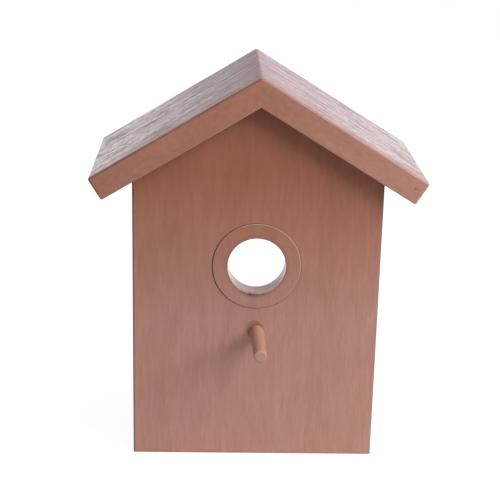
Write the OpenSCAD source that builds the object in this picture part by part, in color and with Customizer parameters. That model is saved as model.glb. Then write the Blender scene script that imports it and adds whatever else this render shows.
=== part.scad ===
// Gabled timber nest box with a round entrance, a perch and a clear back.
// Millimetres. +Z is up, the front faces -Y, and the origin is the centre of the base.

/* [Body] */
// Width across the front wall
wall_w = 134; // [110:1:180]
// Depth from the front face to the back plane
body_d = 87; // [64:1:160]
// Height of a side wall where its outer face meets the roof
eave_h = 159.5; // [145:0.5:240]
// Thickness of the wall boards
wall_t = 12; // [9:0.5:18]
// Thickness of the floor board
floor_t = 12; // [9:0.5:18]
// Radius of the rounded edges of every board
arris = 1.2; // [0.3:0.1:1.5]

/* [Roof] */
// Slope of each roof board, in degrees
pitch = 31.4; // [20:0.2:45]
// Thickness of the roof boards
roof_t = 13.5; // [8:0.5:20]
// Length of a roof board down the slope, from ridge to eave
slope_l = 105; // [96:1:150]
// How far the roof stands out past the front wall
roof_over = 9; // [4:0.5:30]

/* [Entrance] */
// Diameter of the entrance hole
hole_d = 31.5; // [25:0.5:45]
// Height of the entrance centre above the base
hole_z = 112; // [95:0.5:125]
// Outside diameter of the entrance ring
ring_d = 48; // [47:0.5:60]
// Thickness of the entrance ring, most of which is let into the wall
ring_t = 6; // [4:0.25:8]
// How far the entrance ring stands proud of the wall
ring_proud = 0.4; // [0.2:0.1:3]
// Radius of the ring's outer edge
ring_round = 0.5; // [0.2:0.1:0.9]
// Gap round the ring in its seat
ring_gap = 0.25; // [0.1:0.05:0.5]

/* [Perch] */
// Diameter of the perch in its socket
perch_d = 8; // [6:0.5:12]
// Diameter that the perch tapers to at its tip
perch_tip_d = 7.2; // [5.5:0.1:12]
// Length of perch that stands out of the wall
perch_l = 35; // [20:1:60]
// Height of the perch axis above the base
perch_z = 74; // [60:0.5:78]
// Radius of the perch's rounded end
perch_round = 1.2; // [0.4:0.1:2.5]
// Depth of the perch socket in the front wall
socket_l = 8; // [4:0.5:8.5]
// Radial glue gap round the perch in its socket
glue_gap = 0.05; // [0.02:0.01:0.15]

/* [Floor drains] */
// Diameter of the drain holes
drain_d = 6; // [4:0.5:10]
// Distance from each drain centre to the walls beside it
drain_inset = 12; // [9:0.5:16]

/* [Back] */
// Thickness of the clear pane
pane_t = 2; // [1.5:0.25:4]
// Gap round the edge of the pane in its rebate
pane_gap = 0.5; // [0.2:0.1:1]
// Width of the rebate that takes the pane and its beads
rebate_w = 6; // [4:0.5:7]
// Depth of the beads that hold the pane
bead_d = 6; // [4:0.5:7]
// How far the back gable board reaches below the eaves
gable_drop = 13.5; // [11:0.5:30]
// Diameter of the keyhole's wide end
key_d = 9; // [7:0.5:12]
// Width of the keyhole's slot
slot_w = 5; // [3:0.5:5.5]
// Length of the keyhole's slot above the wide end's centre
slot_l = 9; // [7:0.5:12]
// Height of the keyhole's centre above the gable board's lower edge
key_rise = 22; // [18:0.5:26]

/* [Hidden] */
$fn = 96;
front_y = -body_d / 2;
back_y = body_d / 2;
inner_x = wall_w / 2 - wall_t;
inner_y = front_y + wall_t;
ridge_under = under_roof_z(0);
ridge_top = ridge_under + roof_t / cos(pitch);
roof_d = body_d + roof_over;
// Height of the lower edge of the back gable board
gable_z = eave_h - gable_drop;
// The ring's back rests on the floor of its seat in the front wall
ring_seat_y = front_y + ring_t - ring_proud;
// The pane rests against this shoulder, and the beads hold it there
shoulder_y = back_y - bead_d - pane_t;
rebate_x = inner_x + rebate_w;
rebate_low = floor_t - rebate_w;
rebate_high = gable_z + rebate_w;
// Overrun that carries a cut clear of the faces it opens
over = 1;

// Height of the roof's underside at a distance x from the middle
function under_roof_z(x) = eave_h + (wall_w / 2 - abs(x)) * tan(pitch);

// Rectangle with rounded corners
module eased_rect(w, h) {
    translate([arris, 0]) square([w - 2 * arris, h]);
    translate([0, arris]) square([w, h - 2 * arris]);
    for (x = [arris, w - arris], y = [arris, h - arris])
        translate([x, y]) circle(r = arris);
}

// Board with all twelve edges rounded, its lowest corner at the origin
module eased_board(x, y, z) {
    intersection() {
        linear_extrude(z) eased_rect(x, y);
        translate([0, y, 0]) rotate([90, 0, 0]) linear_extrude(y) eased_rect(x, z);
        rotate([90, 0, 90]) linear_extrude(x) eased_rect(y, z);
    }
}

// Profile of a turned piece, with the outer edge of its far end rounded.
// It is straight up to a height and tapers from there to its end radius.
module turned_profile(inner_r, foot_r, end_r, straight_h, h, edge_r) {
    shoulder_h = h - edge_r;
    polygon([
        [inner_r, 0], [foot_r, 0], [foot_r, straight_h], [end_r, shoulder_h],
        [end_r - edge_r, shoulder_h], [end_r - edge_r, h], [inner_r, h]
    ]);
    translate([end_r - edge_r, shoulder_h]) circle(r = edge_r);
}

// Everything below the roof's underside, over the depth of the body
module below_roof() {
    half = wall_w / 2 + over;
    translate([0, back_y + over, 0]) rotate([90, 0, 0]) linear_extrude(body_d + 2 * over)
        polygon([[-half, -over], [half, -over], [half, under_roof_z(half)], [0, ridge_under], [-half, under_roof_z(half)]]);
}

// Cylinder along +Y from a point
module bore_y(x, y, z, d, l) {
    translate([x, y, z]) rotate([-90, 0, 0]) cylinder(d = d, h = l);
}

module entrance_cut() {
    bore_y(0, front_y - over, hole_z, hole_d, wall_t + 2 * over);
}

module ring_seat_cut() {
    bore_y(0, front_y - over, hole_z, ring_d + 2 * ring_gap, ring_seat_y - front_y + over);
}

module front_wall() {
    color([0.60, 0.42, 0.35])
    difference() {
        intersection() {
            translate([-wall_w / 2, front_y, 0]) eased_board(wall_w, wall_t, ridge_under + roof_t);
            below_roof();
        }
        entrance_cut();
        ring_seat_cut();
        bore_y(0, front_y - over, perch_z, perch_d + 2 * glue_gap, socket_l + over);
    }
}

// Right-hand side wall, bevelled to the roof and rebated for the pane
module side_wall() {
    difference() {
        intersection() {
            translate([inner_x, inner_y, 0]) eased_board(wall_t, body_d - wall_t, ridge_under);
            below_roof();
        }
        translate([inner_x - over, shoulder_y, rebate_low])
            cube([rebate_w + over, body_d, rebate_high - rebate_low]);
    }
}

module right_wall() {
    color([0.57, 0.40, 0.33]) side_wall();
}

module left_wall() {
    color([0.57, 0.40, 0.33]) mirror([1, 0, 0]) side_wall();
}

module floor_board() {
    drain_x = inner_x - drain_inset;
    drain_front = inner_y + drain_inset;
    drain_back = shoulder_y - drain_inset;
    color([0.55, 0.38, 0.31])
    difference() {
        translate([-inner_x, inner_y, 0]) eased_board(2 * inner_x, body_d - wall_t, floor_t);
        translate([-inner_x - over, shoulder_y, rebate_low]) cube([2 * (inner_x + over), body_d, floor_t]);
        for (x = [-drain_x, drain_x], y = [drain_front, drain_back])
            translate([x, y, -over]) cylinder(d = drain_d, h = floor_t + 2 * over);
    }
}

// Board that closes the gable behind, with a keyhole to hang the box on a screw
module back_gable() {
    key_z = gable_z + key_rise;
    cut_y = back_y - wall_t - over;
    cut_l = wall_t + 2 * over;
    color([0.57, 0.40, 0.33])
    difference() {
        intersection() {
            translate([-inner_x, back_y - wall_t, gable_z]) eased_board(2 * inner_x, wall_t, ridge_under);
            below_roof();
        }
        translate([-inner_x - over, shoulder_y, gable_z - over])
            cube([2 * (inner_x + over), body_d, rebate_w + over]);
        bore_y(0, cut_y, key_z, key_d, cut_l);
        bore_y(0, cut_y, key_z + slot_l, slot_w, cut_l);
        translate([-slot_w / 2, cut_y, key_z]) cube([slot_w, cut_l, slot_l]);
    }
}

// Right-hand roof board, mitred at the ridge
module roof_board() {
    mitre = 2 * roof_t;
    intersection() {
        translate([0, front_y - roof_over, ridge_top]) rotate([0, pitch, 0]) translate([-mitre, 0, -roof_t])
            eased_board(slope_l + mitre, roof_d, roof_t);
        translate([0, front_y - roof_over - over, 0])
            cube([slope_l + wall_w, roof_d + 2 * over, ridge_top + over]);
    }
}

module roof_right() {
    color([0.72, 0.62, 0.60]) roof_board();
}

module roof_left() {
    color([0.72, 0.62, 0.60]) mirror([1, 0, 0]) roof_board();
}

module entrance_ring() {
    color([0.62, 0.44, 0.37])
    translate([0, ring_seat_y, hole_z]) rotate([90, 0, 0]) rotate_extrude()
        turned_profile(hole_d / 2, ring_d / 2, ring_d / 2, ring_t / 2, ring_t, ring_round);
}

module perch() {
    color([0.70, 0.52, 0.45])
    translate([0, front_y + socket_l, perch_z]) rotate([90, 0, 0]) rotate_extrude()
        turned_profile(0, perch_d / 2, perch_tip_d / 2, socket_l, socket_l + perch_l, perch_round);
}

module back_pane() {
    color([0.90, 0.95, 0.97, 0.3])
    translate([-rebate_x + pane_gap, shoulder_y, rebate_low + pane_gap])
        cube([2 * (rebate_x - pane_gap), pane_t, rebate_high - rebate_low - 2 * pane_gap]);
}

// Upright bead in the right-hand rebate
module bead_side() {
    translate([inner_x, shoulder_y + pane_t, rebate_low]) eased_board(rebate_w, bead_d, rebate_high - rebate_low);
}

// Level bead between the upright ones, with its lower edge at z
module bead_level(z) {
    translate([-inner_x, shoulder_y + pane_t, z]) eased_board(2 * inner_x, bead_d, rebate_w);
}

module bead_right() {
    color([0.62, 0.45, 0.38]) bead_side();
}

module bead_left() {
    color([0.62, 0.45, 0.38]) mirror([1, 0, 0]) bead_side();
}

module bead_top() {
    color([0.62, 0.45, 0.38]) bead_level(gable_z);
}

module bead_bottom() {
    color([0.62, 0.45, 0.38]) bead_level(rebate_low);
}

front_wall();
left_wall();
right_wall();
floor_board();
back_gable();
roof_left();
roof_right();
entrance_ring();
perch();
back_pane();
bead_left();
bead_right();
bead_top();
bead_bottom();
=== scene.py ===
"""Looks of the timber nest box: stained boards, brushed roof, ringed entrance, perch and clear back."""

import math
from collections import namedtuple

import bmesh
import bpy
from mathutils import Matrix, Vector, noise


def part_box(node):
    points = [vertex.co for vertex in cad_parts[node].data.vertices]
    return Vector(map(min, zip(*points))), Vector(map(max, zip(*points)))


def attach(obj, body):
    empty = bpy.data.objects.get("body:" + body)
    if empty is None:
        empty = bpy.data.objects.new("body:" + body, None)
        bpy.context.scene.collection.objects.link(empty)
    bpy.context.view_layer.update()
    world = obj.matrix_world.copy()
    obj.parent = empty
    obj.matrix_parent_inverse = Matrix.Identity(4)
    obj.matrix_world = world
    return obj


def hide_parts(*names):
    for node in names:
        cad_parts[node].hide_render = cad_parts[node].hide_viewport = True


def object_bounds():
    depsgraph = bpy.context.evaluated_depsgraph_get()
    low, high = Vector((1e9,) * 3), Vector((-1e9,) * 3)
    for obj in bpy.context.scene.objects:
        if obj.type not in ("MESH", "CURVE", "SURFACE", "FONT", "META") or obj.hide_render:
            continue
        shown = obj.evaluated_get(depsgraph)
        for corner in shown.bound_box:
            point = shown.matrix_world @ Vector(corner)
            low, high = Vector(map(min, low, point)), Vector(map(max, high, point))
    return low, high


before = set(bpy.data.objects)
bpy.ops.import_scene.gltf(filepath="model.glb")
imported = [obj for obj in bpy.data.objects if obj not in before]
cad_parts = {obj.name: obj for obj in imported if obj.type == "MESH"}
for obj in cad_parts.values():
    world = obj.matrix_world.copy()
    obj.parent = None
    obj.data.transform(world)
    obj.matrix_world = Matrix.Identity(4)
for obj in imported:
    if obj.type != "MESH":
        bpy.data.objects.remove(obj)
cad_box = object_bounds()
scene = bpy.context.scene
MM = 0.001

# Sizes that the solids are made to, in metres
ROOF_PITCH = math.radians(31.4)
ROOF_T = 13.5 * MM
ROOF_SLOPE = 105 * MM
BOARD_ROUND = 1.2 * MM
HOLE_R = 15.75 * MM
RING_ROUND = 0.5 * MM
PERCH_TIP_R = 3.6 * MM
PERCH_ROUND = 1.2 * MM
SOCKET_L = 8 * MM

# Camera of the photograph
CAMERA_PLACE = Vector((-24.246, -692.173, 331.456)) * MM
CAMERA_TILT = math.radians(17.947)
CAMERA_YAW = math.radians(1.803)
CAMERA_ROLL = math.radians(1.332)
CAMERA_LENS = 91.42
CAMERA_SENSOR = 36.0

# Linear colours of the stain
STAIN_ROSE = (0.340, 0.154, 0.110, 1)
STAIN_OLIVE = (0.315, 0.148, 0.098, 1)
STAIN_RUSSET = (0.375, 0.156, 0.107, 1)
STAIN_DARK = (0.115, 0.042, 0.027, 1)
STAIN_PALE = (0.46, 0.27, 0.22, 1)
# Silver stain of the brushed roof, which is a painted sheen
SILVER_PAINTED_SHEEN = (0.332, 0.212, 0.235, 1)
# Painted light low on the walls, and painted shade up under the roof, as tints of the stain
PAINTED_LIGHT_LOW = (1.19, 1.32, 1.51, 1)
PAINTED_SHADE_HIGH = (0.91, 0.75, 0.67, 1)

# Layers of grain: size of the cells across and along it in millimetres, a seed, and the noise's settings
Grain = namedtuple("Grain", "across length seed detail rough bend", defaults=(2.0, 0.5, 0.0))
FINE_GRAIN = Grain(1.0, 7, 0.0, detail=3.0, rough=0.6, bend=0.25)
MEDIUM_GRAIN = Grain(2.4, 24, 3.1, bend=0.4)
BROAD_GRAIN = Grain(12, 120, 7.7)
PATCHES = Grain(9, 26, 12.3)
PORES = Grain(0.25, 3.2, 5.9)
BRUSHED_STREAKS = Grain(2.0, 26, 0.0, rough=0.6, bend=0.2)
BRUSHED_BANDS = Grain(8, 30, 3.1)
BRUSHED_FLECKS = Grain(2.4, 3.6, 5.9, detail=1.0)
BRUSHED_PATCHES = Grain(7, 24, 12.3)
GRAIN_X, GRAIN_Y, GRAIN_Z = range(3)
# Range that most of a noise field lies in, and the part of it that is a pore
NOISE_RANGE = (0.3, 0.7)
PORE_RANGE = (0.66, 0.76)

# How much the layers change the stain, and how much more its green and blue change than its red
FINE_TONE = 0.06
MEDIUM_TONE = 0.04
BROAD_TONE = 0.04
PORE_TONE = 0.2
STREAK_TONE = 0.15
BAND_TONE = 0.05
FLECK_TONE = 0.05
GRAIN_TINT = (1.0, 1.3, 1.6)

# Finish of the stained boards
STAIN_ROUGHNESS = 0.46
ROUGHNESS_SPREAD = 0.05
STAIN_SHINE = 0.2
BUMP_STRENGTH = 0.5
BUMP_DEPTH = 0.05 * MM
FINE_HEIGHT = 0.6
PORE_HEIGHT = -0.3
# Painted shade along the edges of the front, and where it fades, in from the sides and up from the foot
EDGE_PAINTED_SHADE = 0.45
SIDE_BAND = (0.5 * MM, 1.1 * MM)
FOOT_BAND = (0.3 * MM, 1.0 * MM)
# Polish that the drill left in the entrance, and where it fades outside the bore
BORE_ROUGHNESS = 0.06
BORE_BAND = (0.1 * MM, 0.3 * MM)

# Finish of the brushed boards: how painted light and painted highlights, grooves with painted shade on the
# top edges, and the knot change the stain
PAINTED_LIGHT_TONE = 0.5
GROOVE_AND_SHADE_TONE = 0.5
KNOT_TONE = 0.6
KNOT_BAND = (0.3 * MM, 0.7 * MM)
# Gloss of the worn ribs between the troughs, by streaks, bands and flecks
RIB_RANGE = (0.38, 0.62)
RIB_GLOSS = 1.2
BAND_GLOSS = (0.75, 1.25)
FLECK_GLOSS = (0.3, 1.7)
RIB_SMOOTHING = 0.1
RIB_ROUGHNESS = 0.34
RIB_IOR = 1.4
STREAK_HEIGHT = 0.7
GROOVE_HEIGHT = -0.3

# Clear acrylic: its tint, what its face mirrors when seen square on, and its smears
ACRYLIC_TINT = (0.985, 0.99, 0.988, 1)
ACRYLIC_MIRROR = 0.03
MIRROR_POWER = 5.0
ACRYLIC_ROUGHNESS = (0.02, 0.12)
SMEAR_CELL = (18 * MM, 18 * MM, 30 * MM)
SMEAR_SEED = 2.0

# Steel of the pins
STEEL_DARK = (0.36, 0.34, 0.32, 1)
STEEL_PALE = (0.55, 0.53, 0.5, 1)
STEEL_RANGE = (0.35, 0.65)
STEEL_ROUGHNESS = (0.3, 0.5)
STEEL_CELL = (0.4 * MM, 0.4 * MM, 0.4 * MM)
STEEL_SEED = 4.0
SPECK_DETAIL = 3.0


class Tree:
    """A node tree with one short call for each kind of node it needs."""

    def __init__(self, owner):
        owner.use_nodes = True
        self.tree = owner.node_tree
        self.tree.nodes.clear()

    def add(self, kind, inputs=None, **settings):
        made = self.tree.nodes.new(kind)
        for name, value in settings.items():
            setattr(made, name, value)
        for name, value in (inputs or {}).items():
            self.feed(made.inputs[name], value)
        return made

    def feed(self, socket, value):
        if isinstance(value, bpy.types.NodeSocket):
            self.tree.links.new(value, socket)
        else:
            socket.default_value = value

    def place(self):
        """The place on the object, in its own frame."""
        return self.add("ShaderNodeTexCoord").outputs["Object"]

    def attribute(self, name):
        return self.add("ShaderNodeAttribute", attribute_name=name).outputs["Fac"]

    def math(self, operation, a, b=0.0):
        return self.add("ShaderNodeMath", {0: a, 1: b}, operation=operation).outputs[0]

    def vector(self, operation, a, b, output="Vector"):
        return self.add("ShaderNodeVectorMath", {0: a, 1: b}, operation=operation).outputs[output]

    def span(self, value, low, high, to_low=0.0, to_high=1.0):
        """value taken from low..high to to_low..to_high, and held at the ends."""
        inputs = {"Value": value, "From Min": low, "From Max": high, "To Min": to_low, "To Max": to_high}
        return self.add("ShaderNodeMapRange", inputs).outputs[0]

    def mix(self, share, a, b, blend="MIX"):
        made = self.add("ShaderNodeMix", data_type="RGBA", blend_type=blend)
        for index, value in ((0, share), (6, a), (7, b)):
            self.feed(made.inputs[index], value)
        return made.outputs[2]

    def noise(self, place, cell, seed, detail=2.0, rough=0.5, bend=0.0):
        """Noise whose cells have the size cell, in metres along each axis."""
        scale = tuple(1 / c for c in cell)
        mapped = self.add("ShaderNodeMapping", {"Vector": place, "Scale": scale}).outputs[0]
        inputs = {"Vector": mapped, "W": seed, "Scale": 1.0}
        inputs.update({"Detail": detail, "Roughness": rough, "Distortion": bend})
        return self.add("ShaderNodeTexNoise", inputs, noise_dimensions="4D").outputs[0]

    def grain(self, layer, place, axis, seed):
        """Noise of one layer of grain, which runs along an axis."""
        cell = [layer.across * MM] * 3
        cell[axis] = layer.length * MM
        return self.noise(place, cell, seed + layer.seed, layer.detail, layer.rough, layer.bend)

    def output(self, shader, kind="ShaderNodeOutputMaterial"):
        self.add(kind, {"Surface": shader})


def shaded(t, colour, field, amount):
    """colour made darker and redder, or paler, by a noise field."""
    dark = (*(1 - amount * c for c in GRAIN_TINT), 1)
    pale = (*(1 + amount * c for c in GRAIN_TINT), 1)
    return t.mix(1.0, colour, t.mix(t.span(field, *NOISE_RANGE), dark, pale), "MULTIPLY")


def bumped(t, height):
    """Normals of a surface whose relief is height."""
    inputs = {"Strength": BUMP_STRENGTH, "Distance": BUMP_DEPTH, "Height": height}
    return t.add("ShaderNodeBump", inputs).outputs[0]


def stained_wood(name, axis, seed, roughness=STAIN_ROUGHNESS, bore=None, fade=None, half_width=None):
    """Satin stained timber with grain along one axis.

    bore is a drilled hole, as a place and the axes across it. fade is the axis that points up and the
    heights between which painted shade deepens the stain up under the roof, with painted light low down.
    half_width is given for a board whose edges get painted shade. One attribute darkens cut or crushed
    grain, chips and the rim of the hole, and is painted shade on the ring's outer edge and round the
    perch's foot; another makes rubbed wood paler, and is a painted highlight on the ring's outer edge.
    """
    material = bpy.data.materials.new(name)
    t = Tree(material)
    place = t.place()
    fine = t.grain(FINE_GRAIN, place, axis, seed)
    medium = t.grain(MEDIUM_GRAIN, place, axis, seed)
    broad = t.grain(BROAD_GRAIN, place, axis, seed)
    patches = t.grain(PATCHES, place, axis, seed)
    pores = t.grain(PORES, place, axis, seed)

    stain = t.mix(t.span(patches, *NOISE_RANGE), STAIN_ROSE, STAIN_OLIVE)
    where = t.add("ShaderNodeSeparateXYZ", {0: place}).outputs
    # Painted shade up under the roof, and painted light low down
    if fade:
        up, low, high = fade
        stain = t.mix(1.0, stain, t.mix(t.span(where[up], low, high), PAINTED_LIGHT_LOW, PAINTED_SHADE_HIGH), "MULTIPLY")
    # Painted shade along the side edges and the foot
    if half_width:
        inward = t.math("SUBTRACT", half_width, t.math("ABSOLUTE", where[GRAIN_X]))
        side = t.span(inward, *SIDE_BAND, EDGE_PAINTED_SHADE, 0.0)
        foot = t.span(where[GRAIN_Z], *FOOT_BAND, EDGE_PAINTED_SHADE, 0.0)
        stain = t.mix(t.math("MAXIMUM", side, foot), stain, STAIN_DARK)
    # Paler where rubbed, and a painted highlight on the ring's outer edge
    stain = t.mix(t.attribute("wear_and_light"), stain, STAIN_PALE)
    stain = shaded(t, stain, fine, FINE_TONE)
    stain = shaded(t, stain, medium, MEDIUM_TONE)
    stain = shaded(t, stain, broad, BROAD_TONE)
    stain = t.mix(t.span(pores, *PORE_RANGE, 0.0, PORE_TONE), stain, STAIN_DARK)
    # Darker in cut or crushed grain, chips and the rim of the hole, and painted shade on the ring's outer
    # edge and the perch's foot
    stain = t.mix(t.span(t.attribute("grooves_and_shade"), 0.0, 1.0), stain, STAIN_DARK)

    gloss = t.span(fine, *NOISE_RANGE, roughness - ROUGHNESS_SPREAD, roughness + ROUGHNESS_SPREAD)
    height = t.math("ADD", t.math("MULTIPLY", fine, FINE_HEIGHT), t.math("MULTIPLY", pores, PORE_HEIGHT))
    inputs = {"Base Color": stain, "Roughness": gloss, "Specular IOR Level": STAIN_SHINE}
    inputs["Normal"] = bumped(t, height)
    if bore:
        middle, across = bore
        spoke = t.vector("MULTIPLY", t.vector("SUBTRACT", place, middle), across)
        away = t.vector("LENGTH", spoke, (0, 0, 0), "Value")
        near, far = (HOLE_R + reach for reach in BORE_BAND)
        inputs["Coat Weight"] = t.span(away, near, far, 1.0, 0.0)
        inputs["Coat Roughness"] = BORE_ROUGHNESS
    t.output(t.add("ShaderNodeBsdfPrincipled", inputs).outputs[0])
    return material


def brushed_wood(name, axis, seed, knot):
    """Stained timber that was brushed along its grain: dull troughs between worn, silvery ribs.

    The brushed attribute is the share of a silver stain, which is a painted sheen, and the sheen attribute
    that of the ribs' gloss. A third attribute darkens troughs and the ridge's line and is painted shade on
    the top edges; a fourth is painted light at the eave's end and a painted highlight on the lower edges.
    knot is the place of a pin knot.
    """
    material = bpy.data.materials.new(name)
    t = Tree(material)
    place = t.place()
    grooves_and_shade = t.attribute("grooves_and_shade")
    streaks = t.grain(BRUSHED_STREAKS, place, axis, seed)
    bands = t.grain(BRUSHED_BANDS, place, axis, seed)
    flecks = t.grain(BRUSHED_FLECKS, place, axis, seed)
    patches = t.grain(BRUSHED_PATCHES, place, axis, seed)

    stain = t.mix(t.span(patches, *NOISE_RANGE), STAIN_ROSE, STAIN_RUSSET)
    # Paler stain that is painted light at the eave's end and a painted highlight on the lower edges
    stain = t.mix(t.math("MULTIPLY", t.attribute("wear_and_light"), PAINTED_LIGHT_TONE), stain, STAIN_PALE)
    stain = shaded(t, stain, bands, BAND_TONE)
    stain = shaded(t, stain, flecks, FLECK_TONE)
    # Silver stain on the brushed top, a painted sheen
    painted_sheen = shaded(t, SILVER_PAINTED_SHEEN, streaks, STREAK_TONE)
    stain = t.mix(t.attribute("brushed"), stain, painted_sheen)
    knotted = t.span(t.vector("DISTANCE", place, knot, "Value"), *KNOT_BAND, KNOT_TONE, 0.0)
    # Darker in troughs, along the ridge's line and at the knot, and painted shade on the top edges
    dark = t.math("MAXIMUM", t.math("MULTIPLY", grooves_and_shade, GROOVE_AND_SHADE_TONE), knotted)
    stain = t.mix(dark, stain, STAIN_DARK)

    ribs = t.span(streaks, *RIB_RANGE, 0.0, RIB_GLOSS)
    ribs = t.math("MULTIPLY", ribs, t.span(bands, *NOISE_RANGE, *BAND_GLOSS))
    ribs = t.math("MULTIPLY", ribs, t.span(flecks, *NOISE_RANGE, *FLECK_GLOSS))
    ribs = t.math("MULTIPLY", ribs, t.attribute("sheen"))
    gloss = t.math("SUBTRACT", STAIN_ROUGHNESS, t.math("MULTIPLY", ribs, RIB_SMOOTHING))
    relief = t.math("MULTIPLY", streaks, STREAK_HEIGHT)
    bump = bumped(t, t.math("ADD", relief, t.math("MULTIPLY", grooves_and_shade, GROOVE_HEIGHT)))
    inputs = {"Base Color": stain, "Roughness": gloss, "Specular IOR Level": STAIN_SHINE, "Normal": bump}
    inputs.update({"Coat Weight": ribs, "Coat Roughness": RIB_ROUGHNESS, "Coat IOR": RIB_IOR})
    inputs["Coat Normal"] = bump
    t.output(t.add("ShaderNodeBsdfPrincipled", inputs).outputs[0])
    return material


def clear_sheet(name):
    """Thin clear acrylic: what is behind shows through, and its face mirrors a little."""
    material = bpy.data.materials.new(name)
    t = Tree(material)
    smear = t.noise(t.place(), SMEAR_CELL, SMEAR_SEED, SPECK_DETAIL)
    slant = t.add("ShaderNodeLayerWeight", {"Blend": 0.5}).outputs["Facing"]
    mirror = t.span(t.math("POWER", slant, MIRROR_POWER), 0.0, 1.0, ACRYLIC_MIRROR, 1.0)
    clear = t.add("ShaderNodeBsdfTransparent", {"Color": ACRYLIC_TINT}).outputs[0]
    rough = t.span(smear, *NOISE_RANGE, *ACRYLIC_ROUGHNESS)
    shine = t.add("ShaderNodeBsdfGlossy", {"Roughness": rough}).outputs[0]
    t.output(t.add("ShaderNodeMixShader", {0: mirror, 1: clear, 2: shine}).outputs[0])
    return material


def steel(name):
    """Dull steel of small pin heads."""
    material = bpy.data.materials.new(name)
    t = Tree(material)
    specks = t.noise(t.place(), STEEL_CELL, STEEL_SEED, SPECK_DETAIL)
    tone = t.mix(t.span(specks, *STEEL_RANGE), STEEL_DARK, STEEL_PALE)
    rough = t.span(specks, *NOISE_RANGE, *STEEL_ROUGHNESS)
    inputs = {"Base Color": tone, "Metallic": 1.0, "Roughness": rough}
    t.output(t.add("ShaderNodeBsdfPrincipled", inputs).outputs[0])
    return material


SHARP_EDGE = math.radians(50)
ARC_STEPS = 6


def new_piece(name, vertices, faces, material, slot, place=None, **attributes):
    """A mesh piece that rides on the box. Each attribute is one value for each vertex."""
    mesh = bpy.data.meshes.new(name)
    mesh.from_pydata(vertices, [], faces)
    shape = bmesh.new()
    shape.from_mesh(mesh)
    bmesh.ops.recalc_face_normals(shape, faces=shape.faces)
    shape.to_mesh(mesh)
    shape.free()
    mesh.shade_smooth()
    mesh.set_sharp_from_angle(angle=SHARP_EDGE)
    mesh.materials.append(material)
    for key, values in attributes.items():
        mesh.attributes.new(key, "FLOAT", "POINT").data.foreach_set("value", values)
    piece = bpy.data.objects.new(name, mesh)
    scene.collection.objects.link(piece)
    piece.matrix_world = place or Matrix.Identity(4)
    piece.modifiers.new("flat_faces", "WEIGHTED_NORMAL").keep_sharp = True
    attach(piece, "root")
    return piece


def spread(low, high, count):
    """count even steps from low to high."""
    return [low + (high - low) * i / count for i in range(count + 1)]


def arc(centre, radius, start, end, count=ARC_STEPS):
    """Points on an arc between two angles in degrees."""
    angles = [math.radians(a) for a in spread(start, end, count)]
    return [(centre[0] + radius * math.cos(a), centre[1] + radius * math.sin(a)) for a in angles]


def skin(count, size, closed=False):
    """Faces over count rings of size points. The last ring meets the first if closed, else both get caps."""
    faces = []
    for i in range(count if closed else count - 1):
        j = (i + 1) % count
        for k in range(size):
            n = (k + 1) % size
            faces.append((i * size + k, i * size + n, j * size + n, j * size + k))
    if not closed:
        last = (count - 1) * size
        faces.append(tuple(reversed(range(size))))
        faces.append(tuple(range(last, last + size)))
    return faces


def lathe(profile, count, shape):
    """A closed profile of (radius, height) turned about +Z. shape moves its points, given the angle."""
    vertices = []
    for i in range(count):
        angle = 2 * math.pi * i / count
        for radius, height in shape(profile, angle):
            vertices.append((radius * math.cos(angle), radius * math.sin(angle), height))
    return vertices, skin(count, len(profile), closed=True)


# Roof boards

GROOVE_DEPTH = 0.14 * MM
GRAIN_STEP = 0.3 * MM
TOP_STEPS = 105
UNDER_STEPS = 16
# Share of the rounding that the lower arris of a board's ends has
UNDER_ROUND = 0.5
# The ridge is rubbed down over a few steps, with less of the painted silver sheen there and a darker line
RIDGE_DROP = 0.5 * MM
RIDGE_STEP = 0.3 * MM
RIDGE_SHARES = (0.7, 0.8, 0.9, 1.0)
RIDGE_DARK = 0.5
# Share of the gloss and of the painted silver sheen at the end that shows, and how far in it is full
FRONT_SHEEN = 0.45
FRONT_FADE = 19 * MM
# Painted highlight along the lower arris of the boards' ends
LOWER_EDGE_HIGHLIGHT = 1.3
# Place of the pin knot, down the slope and below the top
KNOT_DOWN = 99.7 * MM
KNOT_DEEP = 6.2 * MM
# Brushed grain: its sway, and the cells of its noise along and across it
SWAY = 2.2 * MM
SWAY_CELL = (55 * MM, 22 * MM)
LINE_CELL = (30 * MM, 1.4 * MM)
BAND_CELL = (24 * MM, 4 * MM)
LINE_SEED = 4
BAND_SEED = 9
LINE_WIDTH = 0.22
LINE_DEPTH = 0.55
LINE_LEAST = 0.35
BAND_GAIN = 1.3
BoardLooks = namedtuple("BoardLooks", "eave_wear ridge_sheen eave_sheen seen_end edge_dark")


def board_noise(x, y, cell, seed):
    """Noise at a place on a board, with cells of the size cell."""
    return noise.noise((x / cell[0], y / cell[1], seed))


def brushed_grain(x, y, seed):
    """How deep the brushed grain is at a place on a roof board, from 0 to 1. It runs along x."""
    swayed = y + SWAY * board_noise(x, y, SWAY_CELL, seed)
    lines = board_noise(x, swayed, LINE_CELL, seed + LINE_SEED)
    bands = board_noise(x, swayed, BAND_CELL, seed + BAND_SEED)
    thin = max(0.0, 1 - abs(lines) / LINE_WIDTH)
    wide = max(0.0, min(1.0, 0.5 + BAND_GAIN * bands))
    return LINE_DEPTH * thin * (LINE_LEAST + (1 - LINE_LEAST) * wide) + (1 - LINE_DEPTH) * wide


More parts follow.
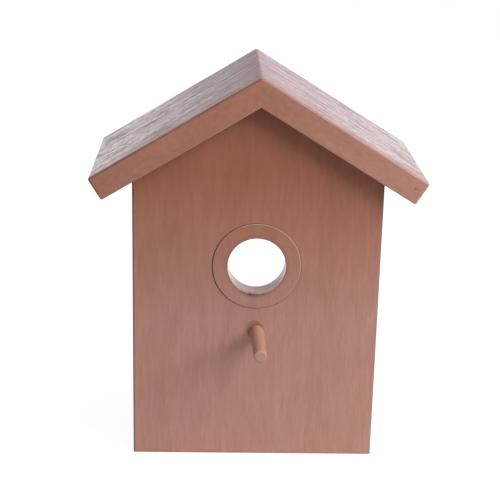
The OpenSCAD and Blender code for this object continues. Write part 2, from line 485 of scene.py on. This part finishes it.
def roof_section(inset):
    """Outline of a roof board, as (place, share of the brushed top). It is drawn in by inset."""
    tan_pitch = math.tan(ROOF_PITCH)
    corner = BOARD_ROUND - inset
    end = ROOF_SLOPE - BOARD_ROUND
    count = len(RIDGE_SHARES)
    drops = [RIDGE_DROP * (1 - i / count) ** 2 for i in range(count)]
    top = []
    for i, drop in enumerate(drops):
        top.append((((inset + drop) * tan_pitch + i * RIDGE_STEP, -inset - drop), RIDGE_SHARES[i]))
    top += [((x, -inset), 1.0) for x in spread(inset * tan_pitch + count * RIDGE_STEP, end, TOP_STEPS)]
    upper = arc((end, -BOARD_ROUND), corner, 90, 0)
    nose = [(point, 1 - i / ARC_STEPS) for i, point in enumerate(upper)][1:]
    lower = arc((end, BOARD_ROUND - ROOF_T), corner, 0, -90)
    chin = [((x, z - (1 - UNDER_ROUND) * inset), 0.0) for x, z in lower]
    under_z = UNDER_ROUND * inset - ROOF_T
    under = [((x, under_z), 0.0) for x in spread(end, -under_z * tan_pitch, UNDER_STEPS)][1:]
    return top + nose + chin + under


def roof_board(name, node, spin, front, back, seed, looks, material):
    """A mitred roof board with rounded edges and brushed grain down its slope, in its own slope's frame.

    looks has the painted light on the eave's end, the sheen at the ridge and at the eave, the end of the
    board that faces the viewer, and the painted shade on the top edge.
    """
    turns = spread(0, math.pi / 2, ARC_STEPS)
    ends = [(front + BOARD_ROUND * (1 - math.cos(a)), BOARD_ROUND * (1 - math.sin(a))) for a in turns]
    tail = [(back + front - y, inset) for y, inset in reversed(ends)]
    count = round((tail[0][0] - ends[-1][0]) / GRAIN_STEP)
    middle = [(y, 0.0) for y in spread(ends[-1][0], tail[0][0], count)][1:-1]
    stations = ends + middle + tail
    vertices, grooves_and_shade, brushed, sheen, wear_and_light = [], [], [], [], []
    for y, inset in stations:
        arris = 0 < inset < BOARD_ROUND
        inward = abs(y - looks.seen_end) / FRONT_FADE
        sheen_end = min(1.0, FRONT_SHEEN + (1 - FRONT_SHEEN) * inward)
        for (x, z), share in roof_section(inset):
            share *= 1 - inset / BOARD_ROUND
            down = x / ROOF_SLOPE
            cut = brushed_grain(x, y, seed) * share if share else 0.0
            vertices.append((x, y, z - GROOVE_DEPTH * cut))
            above = z > BOARD_ROUND - ROOF_T
            edge = max(arris and above, RIDGE_DARK * (x < RIDGE_STEP * len(RIDGE_SHARES)))
            # Grooves and the ridge's dark line, and painted shade on the top arris
            grooves_and_shade.append(cut + looks.edge_dark * edge)
            # Share of the silver stain, a painted sheen
            brushed.append(share * sheen_end)
            glossy = looks.ridge_sheen + (looks.eave_sheen - looks.ridge_sheen) * down
            sheen.append(share * sheen_end * glossy)
            # Painted light towards the eave, and a painted highlight on the lower arris
            wear_and_light.append(looks.eave_wear * max(0.0, down) + LOWER_EDGE_HIGHLIGHT * (arris and not above))
    faces = skin(len(stations), len(vertices) // len(stations))
    ridge = Matrix.Translation((0, 0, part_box(node)[1].z))
    place = ridge @ Matrix.Rotation(spin, 4, "Z") @ Matrix.Rotation(ROOF_PITCH, 4, "Y")
    marks = {"grooves_and_shade": grooves_and_shade, "brushed": brushed, "sheen": sheen, "wear_and_light": wear_and_light}
    piece = new_piece(name, vertices, faces, material, "roof_boards", place, **marks)
    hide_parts(node)


roof_low, roof_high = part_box("roof_right")
eaves_front, eaves_back = roof_low.y, roof_high.y
roof_wood = brushed_wood("roof_wood", GRAIN_X, seed=21.0, knot=(KNOT_DOWN, eaves_front, -KNOT_DEEP))
# Painted light on the right board's eave end, and painted shade mostly on the left board's top edge
right_looks = BoardLooks(0.75, ridge_sheen=0.76, eave_sheen=2.05, seen_end=eaves_front, edge_dark=0.2)
left_looks = BoardLooks(0.1, ridge_sheen=0.18, eave_sheen=2.1, seen_end=-eaves_front, edge_dark=0.9)
roof_board("roof_board_right", "roof_right", 0.0, eaves_front, eaves_back, 1.0, right_looks, roof_wood)
roof_board("roof_board_left", "roof_left", math.pi, -eaves_back, -eaves_front, 31.0, left_looks, roof_wood)

# Entrance ring, a little off the middle of its seat, with small chips that the drill left on its lower rim

RING_SHIFT = Vector((0.06, 0.0, -0.03)) * MM
RING_SIDES = 384
RIM_ROUND = 0.35 * MM
RIM_STEPS = 4
RIM_TONE = 0.25
OUTER_STEPS = 5
# Painted highlight round the ring's outer edge, and painted shade on its left side, darkest at an angle
OUTER_PAINTED_HIGHLIGHT = 0.8
OUTER_PAINTED_SHADE = 0.3
OUTER_PAINTED_SHADE_AT = math.radians(160)
# Chips, as an angle and a share of the reach
CHIPS = [(math.radians(239), 0.8), (math.radians(254.6), 1.2), (math.radians(286), 0.8)]
CHIP_WIDTH = math.radians(2.2)
CHIP_REACH = 0.5 * MM
# Crushed grain along the lower rim
BRUISE_AT = math.radians(263)
BRUISE_WIDTH = math.radians(34)
BRUISE_REACH = 2.6 * MM
BRUISE_TONE = 0.7
BRUISE_PATCHES = 9
BRUISE_SEED = 3.0

ring_low, ring_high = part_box("entrance_ring")
ring_r = (ring_high.x - ring_low.x) / 2
ring_t = ring_high.y - ring_low.y
ring_middle = (ring_low + ring_high) / 2
ring_outline = [(HOLE_R, 0.0)]
ring_outline += arc((HOLE_R + RIM_ROUND, ring_t - RIM_ROUND), RIM_ROUND, 180, 90, RIM_STEPS)
rim = range(1, len(ring_outline))
ring_outline += [(HOLE_R + BRUISE_REACH, ring_t)]
outer_start = len(ring_outline) + 1
ring_outline += arc((ring_r - RING_ROUND, ring_t - RING_ROUND), RING_ROUND, 90, 0, OUTER_STEPS)
outer_edge = range(outer_start, len(ring_outline) - 1)
ring_outline += [(ring_r, 0.0)]


def chipped(profile, angle):
    """The ring's outline at an angle, with the rim cut back where a chip is."""
    cut = sum(deep * max(0.0, 1 - abs(angle - at) / CHIP_WIDTH) for at, deep in CHIPS)
    moved = list(profile)
    for i in rim:
        r, z = profile[i]
        share = i / len(rim)
        moved[i] = (r + CHIP_REACH * cut * share, z - CHIP_REACH * cut * (1 - share))
    return moved


ring_mesh = lathe(ring_outline, RING_SIDES, chipped)
ring_marks = {"grooves_and_shade": [], "wear_and_light": []}
for side in range(RING_SIDES):
    angle = 2 * math.pi * side / RING_SIDES
    patch = BRUISE_TONE + noise.noise((angle * BRUISE_PATCHES, 0, BRUISE_SEED))
    bruise = patch * max(0.0, 1 - abs(angle - BRUISE_AT) / BRUISE_WIDTH)
    # Painted shade on the outer edge's left side
    outer_shade = OUTER_PAINTED_SHADE * max(0.0, math.cos(angle - OUTER_PAINTED_SHADE_AT))
    for i in range(len(ring_outline)):
        ring_marks["grooves_and_shade"].append(RIM_TONE + bruise if i in rim else outer_shade * (i >= outer_start))
        # Painted highlight on the outer edge
        ring_marks["wear_and_light"].append(OUTER_PAINTED_HIGHLIGHT * (i in outer_edge))
ring_back = Vector((0, ring_high.y, ring_middle.z))
ring_place = Matrix.Translation(ring_back + RING_SHIFT) @ Matrix.Rotation(math.pi / 2, 4, "X")
# The ring gets the walls' painted shade towards the top and painted light below
ring_painted_shading = (GRAIN_Y, -ring_r, 2 * ring_r)
ring_wood = stained_wood("ring_wood", GRAIN_Y, seed=33.0, bore=((0, 0, 0), (1, 1, 0)), fade=ring_painted_shading)
ring = new_piece("ring", *ring_mesh, ring_wood, "entrance_ring", ring_place, **ring_marks)
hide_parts("entrance_ring")

# Perch, which leans a little to the right, with a smear of glue round the top of its foot, darkened with
# painted shade

PERCH_LEAN = math.radians(1.6)
PERCH_SHIFT = 0.6 * MM
PERCH_SIDES = 64
PERCH_ROUGHNESS = 0.5
AXIS_R = 0.02 * MM
SHAFT_STEPS = 30
SHAFT_WEAR = 0.4
TIP_STEPS = 6
TIP_WEAR = 0.7
# Point of the rounded tip from which on it is worn
TIP_WEAR_FROM = 4
# How far the dowel is out of round, and the circle through the noise that shapes it and its glue
OUT_OF_ROUND = 0.06 * MM
NOISE_CIRCLE = 1.6
LUMP_SEED = 5.0
# Glue smear, with the tones of the painted shade on it, from the edge of the smear to the dowel
GLUE_REACH = 2.8 * MM
GLUE_RISE = 0.12 * MM
GLUE_EDGE = 0.01 * MM
GLUE_SHADE_TONES = (0.0, 0.22, 0.45)
GLUE_SIDE = math.radians(108)
GLUE_LEAST = 0.35
GLUE_UNEVEN = 0.2
GLUE_SEED = 9.0

perch_low, perch_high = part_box("perch")
perch_r = (perch_high.x - perch_low.x) / 2
perch_l = perch_high.y - perch_low.y
shaft_end = perch_l - PERCH_ROUND
perch_outline = [(AXIS_R, 0.0), (perch_r, 0.0), (perch_r, SOCKET_L)]
foot_start = len(perch_outline)
perch_outline += [(perch_r + GLUE_REACH, SOCKET_L + GLUE_EDGE)]
perch_outline += [(perch_r + GLUE_REACH / 2, SOCKET_L + GLUE_RISE / 2), (perch_r, SOCKET_L + GLUE_RISE)]
foot = range(foot_start, len(perch_outline))
for z in spread(SOCKET_L + 2 * GLUE_RISE, shaft_end, SHAFT_STEPS)[:-1]:
    taper = (z - SOCKET_L) / (shaft_end - SOCKET_L)
    perch_outline += [(perch_r + (PERCH_TIP_R - perch_r) * taper, z)]
shaft = range(foot.stop, len(perch_outline))
perch_outline += arc((PERCH_TIP_R - PERCH_ROUND, shaft_end), PERCH_ROUND, 0, 90)
perch_outline += [(r, perch_l) for r in spread(PERCH_TIP_R - PERCH_ROUND, AXIS_R, TIP_STEPS)[1:]]
tip = range(shaft.stop + TIP_WEAR_FROM, len(perch_outline))


def whittled(profile, angle):
    """The dowel's outline at an angle: a little out of round, with glue that spreads most to one side."""
    spot = (NOISE_CIRCLE * math.cos(angle), NOISE_CIRCLE * math.sin(angle))
    lump = OUT_OF_ROUND * noise.noise((*spot, LUMP_SEED))
    glue = GLUE_LEAST + (1 - GLUE_LEAST) * max(0.0, math.cos(angle - GLUE_SIDE))
    glue += GLUE_UNEVEN * noise.noise((*spot, GLUE_SEED))
    moved = []
    for i, (r, z) in enumerate(profile):
        if i in foot:
            r = perch_r + (r - perch_r) * glue
        elif i in shaft:
            r += lump
        moved.append((r, z))
    return moved


perch_mesh = lathe(perch_outline, PERCH_SIDES, whittled)
perch_foot_shade = [0.0] * len(perch_outline)
perch_worn = [SHAFT_WEAR] * len(perch_outline)
# Painted shade on the glue smear at the foot, where no wear shows
for i, tone in zip(foot, GLUE_SHADE_TONES):
    perch_foot_shade[i] = tone
    perch_worn[i] = 0.0
for i in tip:
    perch_worn[i] = TIP_WEAR
perch_place = Matrix.Translation((PERCH_SHIFT, perch_high.y, (perch_low.z + perch_high.z) / 2))
perch_place = perch_place @ Matrix.Rotation(PERCH_LEAN, 4, "Z") @ Matrix.Rotation(math.pi / 2, 4, "X")
perch_wood = stained_wood("perch_wood", GRAIN_Z, seed=40.0, roughness=PERCH_ROUGHNESS)
perch_marks = {"grooves_and_shade": perch_foot_shade * PERCH_SIDES, "wear_and_light": perch_worn * PERCH_SIDES}
perch = new_piece("dowel_perch", *perch_mesh, perch_wood, "perch", perch_place, **perch_marks)
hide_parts("perch")

# Boards that keep the solids' own shapes

# Heights on the walls between which painted light low down turns to painted shade under the roof
WALL_PAINTED_SHADING = (GRAIN_Z, 82 * MM, 162 * MM)
BOARD_SEED = 50.0
SEED_STEP = 9
BOARD_GRAIN = {
    "front_wall": GRAIN_Z, "left_wall": GRAIN_Z, "right_wall": GRAIN_Z,
    "back_gable": GRAIN_X, "floor_board": GRAIN_X,
    "bead_left": GRAIN_Z, "bead_right": GRAIN_Z, "bead_top": GRAIN_X, "bead_bottom": GRAIN_X,
}
for turn, (node, axis) in enumerate(BOARD_GRAIN.items()):
    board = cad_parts[node].data
    board.materials.clear()
    extras = {}
    if node.endswith("_wall"):
        extras["fade"] = WALL_PAINTED_SHADING
    if node == "front_wall":
        extras["bore"] = (ring_middle, (1, 0, 1))
        # Painted shade along the front's side edges and foot
        extras["half_width"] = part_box(node)[1].x
    board.materials.append(stained_wood(node + "_wood", axis, BOARD_SEED + SEED_STEP * turn, **extras))
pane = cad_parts["back_pane"].data
pane.materials.clear()
pane.materials.append(clear_sheet("clear_acrylic"))

# Pins that hold the beads

PIN_R = 0.7 * MM
PIN_RISE = 0.25 * MM
PIN_SINK = 0.05 * MM
PIN_SIDES = 12
PIN_TILTS = (0, 25, 50, 75)
PIN_SHARES = (0.1, 0.5, 0.9)


def pin_heads(name, spots):
    """Low domed heads that face +Y, joined into one piece."""
    tilts = [math.radians(tilt) for tilt in PIN_TILTS]
    sides = [2 * math.pi * i / PIN_SIDES for i in range(PIN_SIDES)]
    head = skin(len(tilts), PIN_SIDES)
    vertices, faces = [], []
    for x, y, z in spots:
        faces += [tuple(len(vertices) + i for i in face) for face in head]
        for tilt in tilts:
            r = PIN_R * math.cos(tilt)
            rise = PIN_RISE * math.sin(tilt)
            vertices += [(x + r * math.cos(a), y + rise, z - r * math.sin(a)) for a in sides]
    new_piece(name, vertices, faces, steel("pin_steel"), "pane_beads")


pin_spots = []
for node in ("bead_left", "bead_right", "bead_top", "bead_bottom"):
    low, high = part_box(node)
    middle = (low + high) / 2
    upright = high.z - low.z > high.x - low.x
    for share in PIN_SHARES:
        x = middle.x if upright else low.x + share * (high.x - low.x)
        z = low.z + share * (high.z - low.z) if upright else middle.z
        pin_spots.append((x, high.y - PIN_SINK, z))
pin_heads("bead_pins", pin_spots)

# Floor, world, lamp and camera

STAGE_REACH = 1.6
# The paper is two sheets: the near one throws much light onto the box, the one in front hardly any
SHEET_FRONT = -0.22
SHEET_DROP = 0.1 * MM
NEAR_BOUNCE = 0.82
FAR_BOUNCE = 0.05
FLOOR_GLOW = 0.88
FLOOR_SHADOW = 0.28
AMBIENT = 0.53
# Key lamp: degrees to the right of the front and up, distance and size in metres, and power in watts
KEY_TOWARD = (60, 36)
KEY_DISTANCE = 0.95
KEY_SIZE = 0.6
KEY_POWER = 10.9


def seen_directly(t):
    """1 for rays that show the background itself: from the camera, in gloss, or through clear sheets."""
    path = t.add("ShaderNodeLightPath").outputs
    seen = t.math("MAXIMUM", path["Is Camera Ray"], path["Is Glossy Ray"])
    return t.math("MAXIMUM", seen, path["Is Transmission Ray"])


def white_paper(name, bounce):
    """Paper that shows a faint shadow of the box, and throws the share bounce of its light onto it."""
    material = bpy.data.materials.new(name)
    t = Tree(material)
    direct = seen_directly(t)
    tone = t.span(direct, 0.0, 1.0, bounce, FLOOR_SHADOW)
    tone = t.add("ShaderNodeCombineColor", {"Red": tone, "Green": tone, "Blue": tone}).outputs[0]
    matte = t.add("ShaderNodeBsdfDiffuse", {"Color": tone}).outputs[0]
    glow = t.add("ShaderNodeEmission", {"Strength": t.math("MULTIPLY", direct, FLOOR_GLOW)}).outputs[0]
    t.output(t.add("ShaderNodeAddShader", {0: matte, 1: glow}).outputs[0])
    return material


def stage_sheet(name, front, back, material):
    """Level sheet of the stage, as wide as the stage, at the foot of the box."""
    mesh = bpy.data.meshes.new(name)
    corners = [(-STAGE_REACH, front, 0), (STAGE_REACH, front, 0)]
    corners += [(STAGE_REACH, back, 0), (-STAGE_REACH, back, 0)]
    mesh.from_pydata(corners, [], [(0, 1, 2, 3)])
    mesh.materials.append(material)
    sheet = bpy.data.objects.new(name, mesh)
    scene.collection.objects.link(sheet)
    sheet.location.z = cad_box[0][2] - SHEET_DROP


def white_world():
    """White all round, which lights the box less than it shows."""
    world = bpy.data.worlds.new("white_studio")
    scene.world = world
    t = Tree(world)
    strength = t.span(seen_directly(t), 0.0, 1.0, AMBIENT, 1.0)
    backdrop = t.add("ShaderNodeBackground", {"Color": (1, 1, 1, 1), "Strength": strength}).outputs[0]
    t.output(backdrop, "ShaderNodeOutputWorld")


def key_lamp(aim):
    """A square soft lamp that looks at aim."""
    right, up = (math.radians(a) for a in KEY_TOWARD)
    way = Vector((math.sin(right) * math.cos(up), -math.cos(right) * math.cos(up), math.sin(up)))
    data = bpy.data.lights.new("key", "AREA")
    data.size = KEY_SIZE
    data.energy = KEY_POWER
    lamp = bpy.data.objects.new("key", data)
    scene.collection.objects.link(lamp)
    lamp.location = aim + way * KEY_DISTANCE
    lamp.rotation_euler = way.to_track_quat("Z", "Y").to_euler()


def photo_camera():
    """The camera of the photograph, as fitted to its outlines."""
    data = bpy.data.cameras.new("photo_camera")
    data.sensor_width = CAMERA_SENSOR
    data.lens = CAMERA_LENS
    camera = bpy.data.objects.new("photo_camera", data)
    scene.collection.objects.link(camera)
    turn = Matrix.Rotation(-CAMERA_YAW, 4, "Z") @ Matrix.Rotation(math.pi / 2 - CAMERA_TILT, 4, "X")
    camera.matrix_world = Matrix.Translation(CAMERA_PLACE) @ turn @ Matrix.Rotation(CAMERA_ROLL, 4, "Z")
    scene.camera = camera


stage_sheet("near_paper", SHEET_FRONT, STAGE_REACH, white_paper("near_paper", NEAR_BOUNCE))
stage_sheet("far_paper", -STAGE_REACH, SHEET_FRONT, white_paper("far_paper", FAR_BOUNCE))
white_world()
key_lamp(ring_middle)
photo_camera()
scene.view_settings.view_transform = "Standard"
